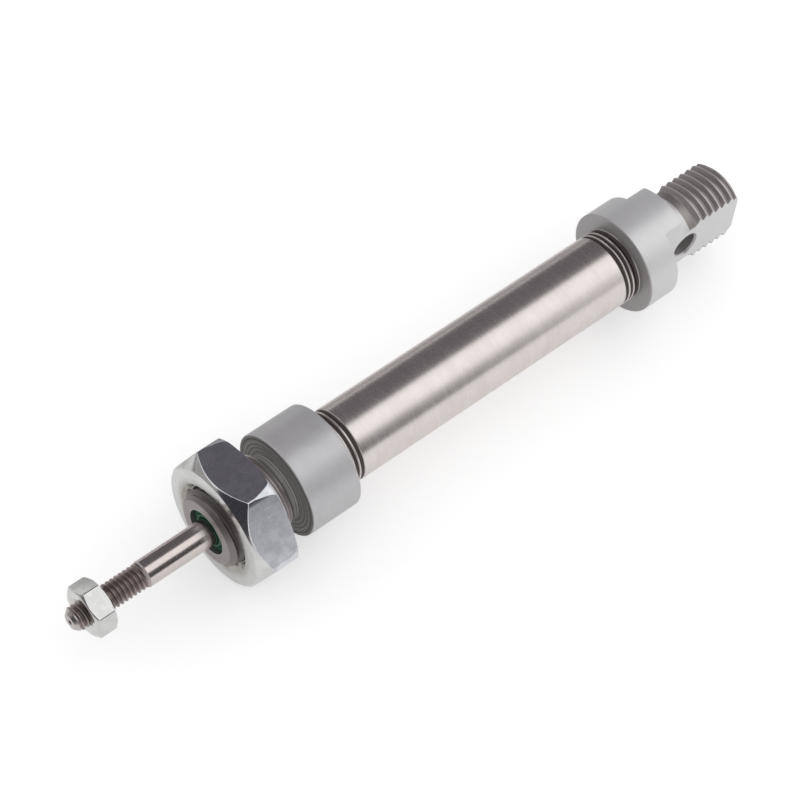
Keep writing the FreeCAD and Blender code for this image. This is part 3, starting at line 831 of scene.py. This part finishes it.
tube_finish = barrel_steel()
cap_finish = satin_alloy()
nut_finish = plated_steel()
rod_finish = polished_rod()
seal_finish = moulded("green_sealing_rubber", rgb(0, 70, 44), rgb(0, 98, 62), 0.42)
rubber_finish = moulded("black_rubber", rgb(30, 30, 30), rgb(44, 43, 42), 0.5)
bronze_finish = moulded("sintered_bronze", rgb(150, 104, 62), rgb(184, 134, 84), 0.38, 12.0, 1.0, 0.00003)
piston_finish = moulded("turned_piston_alloy", rgb(196, 196, 198), rgb(214, 214, 215), 0.3, 4.0, 1.0)
guide_finish = moulded("guide_plastic", rgb(206, 198, 180), rgb(222, 215, 198), 0.45)
magnet_finish = moulded("bonded_magnet", rgb(52, 52, 55), rgb(70, 70, 73), 0.5, 10.0, 0.6, 0.00002)


# Pieces

def dress(piece, body, material_slot, finish, *nodes):
    """Give a piece its finish and let it stand for its CAD nodes on their body."""
    piece.data.materials.clear()
    piece.data.materials.append(finish)
    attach(piece, body)
    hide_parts(*nodes)


dress(make_tube(), "barrel", "stainless_barrel", tube_finish, "barrel_tube")
dress(make_front_cap(), "barrel", "anodised_cap", cap_finish, "front_cap")
dress(make_rear_cap(), "barrel", "anodised_cap", cap_finish, "rear_cap")
dress(make_rod_seal(), "barrel", "green_seal", seal_finish, "rod_seal")
dress(make_piston_rod(), "rod", "polished_rod", rod_finish, "piston_rod")
dress(make_mounting_nut(), "mounting_nut", "zinc_plated_nut", nut_finish, "mounting_nut")
dress(make_rod_nut(), "rod_nut", "zinc_plated_nut", nut_finish, "rod_nut")

# The inner pieces stay as the CAD made them
HIDDEN_FINISHES = {
    "rod_bush": bronze_finish,
    "front_tube_seal": rubber_finish,
    "rear_tube_seal": rubber_finish,
    "front_buffer": rubber_finish,
    "rear_buffer": rubber_finish,
    "front_piston_half": piston_finish,
    "rear_piston_half": piston_finish,
    "front_piston_seal": rubber_finish,
    "rear_piston_seal": rubber_finish,
    "guide_ring": guide_finish,
    "magnet_ring": magnet_finish,
    "magnet_washer": rubber_finish,
    "piston_rod_seal": rubber_finish,
}
for node, finish in HIDDEN_FINISHES.items():
    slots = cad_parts[node].data.materials
    slots.clear()
    slots.append(finish)


# Studio

CAMERA_AIM = Vector((-22.3, -0.437, 0.216)) * MM
CAMERA_DISTANCE = 385.5 * MM
CAMERA_ANGLES = (44.06, 55.07, 6.85)
CAMERA_LENS = 125.5
CAMERA_SENSOR = 36

ROOM_LIGHT = 0.85
FLOOR_HALF_SIZE = 3.0
FLOOR_GAP = 0.02 * MM
FLOOR_COLOUR = (0.75, 0.75, 0.75, 1)
FLOOR_GLOW = 0.4
FLOOR_GLOW_IN_REFLECTIONS = 0.62

STUDIO_REACH = 0.8
LAMP_ANGLE = 64
LAMP_HALF_ANGLE = 27
LAMP_LENGTH = 1.6
LAMP_STRENGTH = 0.15
LAMP_SHIFT = Vector((-0.36, 0, 0))

UP = Vector((0, 0, 1))
SOFT_EDGES = (0.06, 0.06)
LEVEL_EDGES = ((0, 0), (0, 0))


def make_camera():
    """The photograph's view: from the front and above, a little rolled."""
    azimuth, elevation, roll = (math.radians(angle) for angle in CAMERA_ANGLES)
    turn = (Matrix.Rotation(azimuth + math.pi / 2, 4, "Z") @ Matrix.Rotation(math.pi / 2 - elevation, 4, "X")
            @ Matrix.Rotation(roll, 4, "Z"))
    place = CAMERA_AIM + turn.to_3x3() @ Vector((0, 0, CAMERA_DISTANCE))
    camera = in_scene("camera", bpy.data.cameras.new("camera"))
    camera.data.lens = CAMERA_LENS
    camera.data.sensor_width = CAMERA_SENSOR
    camera.data.clip_start = 0.01
    camera.matrix_world = Matrix.Translation(place) @ turn
    bpy.context.scene.camera = camera


def seen_directly(wire, in_reflections=1.0):
    """1 for what the camera sees, also through things, less in reflections, and 0 for the light on things."""
    camera, glossy, through = (wire.add("ShaderNodeLightPath", output=name)
                               for name in ("Is Camera Ray", "Is Glossy Ray", "Is Transmission Ray"))
    return wire.sum("MINIMUM", camera + glossy * in_reflections + through, 1.0)


def make_world():
    """An even white room, white behind the object and in its reflections."""
    world = bpy.data.worlds.new("white_room")
    bpy.context.scene.world = world
    wire = empty_tree(world)
    strength = ROOM_LIGHT + seen_directly(wire) * (1 - ROOM_LIGHT)
    room = wire.add("ShaderNodeBackground", None, {"Color": (1, 1, 1, 1), "Strength": strength})
    wire.add("ShaderNodeOutputWorld", None, {"Surface": room})


def flat_sheet(name, finish_name, half_length, half_width, level=0):
    """A flat piece of the studio, and the wire to build its finish with."""
    mesh = bpy.data.meshes.new(name)
    corners = ((-1, -1), (1, -1), (1, 1), (-1, 1))
    mesh.from_pydata([(x * half_length, y * half_width, level) for x, y in corners], [], [(0, 1, 2, 3)])
    finish = bpy.data.materials.new(finish_name)
    mesh.materials.append(finish)
    return in_scene(name, mesh), empty_tree(finish)


def make_floor():
    """The pale floor just under the object, which keeps its soft shadow."""
    level = cad_box[0].z - FLOOR_GAP
    floor, wire = flat_sheet("floor", "floor_white", FLOOR_HALF_SIZE, FLOOR_HALF_SIZE, level)
    paper = wire.add("ShaderNodeBsdfDiffuse", None, {"Color": FLOOR_COLOUR})
    strength = seen_directly(wire, FLOOR_GLOW_IN_REFLECTIONS) * FLOOR_GLOW
    glow = wire.add("ShaderNodeEmission", None, {"Strength": strength})
    both = wire.add("ShaderNodeAddShader", None, {0: paper, 1: glow})
    wire.add("ShaderNodeOutputMaterial", None, {"Surface": both})


def face(thing, centre, facing):
    """Put a lamp or a card at a place, and turn its Z axis to a direction."""
    thing.location = centre
    thing.rotation_mode = "QUATERNION"
    thing.rotation_quaternion = facing.to_track_quat("Z", "Y")


def studio_card(name, centre, facing, size, tone, edges=SOFT_EDGES, climbs=LEVEL_EDGES):
    """A card that only shows in the reflections on the metal, darker than the room.

    edges are the softness of its lower and upper edge, and climbs are each edge's slope along the card and
    where on the card it has its plain height.
    """
    width, height = size[0] / 2, size[1] / 2
    card, wire = flat_sheet(name, name, width, height)
    face(card, centre, facing)
    card.visible_camera = card.visible_diffuse = card.visible_shadow = card.visible_transmission = False
    coordinates = wire.add("ShaderNodeTexCoord", output="Object")
    sideways, up = (coordinates.part(axis) for axis in (0, 1))
    above, below = (up - (sideways - plain_at) * slope for slope, plain_at in climbs)
    solid = (abs(sideways).step(width - SOFT_EDGES[0], width, 1, 0) * above.step(-height, edges[0] - height)
             * below.step(height - edges[1], height, 1, 0))
    clear = wire.add("ShaderNodeBsdfTransparent")
    dark = wire.add("ShaderNodeEmission", None, {"Color": (*tone, 1), "Strength": 1.0})
    mixed = wire.add("ShaderNodeMixShader", None, {0: solid, 1: clear, 2: dark})
    wire.add("ShaderNodeOutputMaterial", None, {"Surface": mixed})


def across_axis(degrees):
    """A direction square to the cylinder's axis, turned up from +Y."""
    return Vector((0, math.cos(math.radians(degrees)), math.sin(math.radians(degrees))))


def seen_height(half_angle):
    """The height of a lamp or card at the studio's reach, from half the angle that it fills."""
    return 2 * STUDIO_REACH * math.tan(math.radians(half_angle))


def make_lamp():
    """One long soft lamp over the cylinder."""
    lamp = bpy.data.lights.new("softbox", "AREA")
    lamp.shape = "RECTANGLE"
    lamp.size, lamp.size_y = LAMP_LENGTH, seen_height(LAMP_HALF_ANGLE)
    lamp.energy = LAMP_STRENGTH * math.pi * lamp.size * lamp.size_y
    overhead = across_axis(LAMP_ANGLE)
    face(in_scene("softbox", lamp), overhead * STUDIO_REACH + LAMP_SHIFT, overhead)


def make_cards():
    """Cards on both sides of the cylinder, in front of it and on the floor, for its metal to reflect."""
    for name, angle, half_angle, tone, edges, climbs in (
        ("far_card", 137, 42, (0.142, 0.134, 0.146), (0.12, 0.06), LEVEL_EDGES),
        ("near_card", 26, 23.5, (0.06, 0.06, 0.065), (0.03, 0.16), ((0.17, 0.33), (3.1, 0.387))),
    ):
        towards = across_axis(angle)
        studio_card(name, towards * STUDIO_REACH + 2 * LAMP_SHIFT, -towards, (1.5, seen_height(half_angle)),
                    tone, edges, climbs)
    ahead, beside = Vector((0.75, 0.15, 0.5)), Vector((0.62, -0.72, 0.26))
    floor_level = cad_box[0].z + 0.5 * MM
    floor_grey = (0.36, 0.35, 0.35)
    studio_card("front_card", ahead, -ahead, (1.2, 1.5), (0.05, 0.05, 0.06))
    studio_card("front_floor_card", Vector((0.5, 0, floor_level)), UP, (0.9, 1.0), (0.12, 0.11, 0.11))
    studio_card("side_card", beside, -beside, (1.0, 0.6), (0.42, 0.41, 0.41))
    studio_card("far_floor_card", Vector((-0.7, -0.091, floor_level)), UP, (1.5, 0.158), floor_grey,
                (0.03, 0.01))
    studio_card("farther_floor_card", Vector((-0.825, -0.52, floor_level + 0.5 * MM)), UP, (1.5, 0.8),
                floor_grey, (0.05, 0.03))


make_camera()
make_world()
make_floor()
make_lamp()
make_cards()
bpy.context.scene.view_settings.view_transform = "Standard"
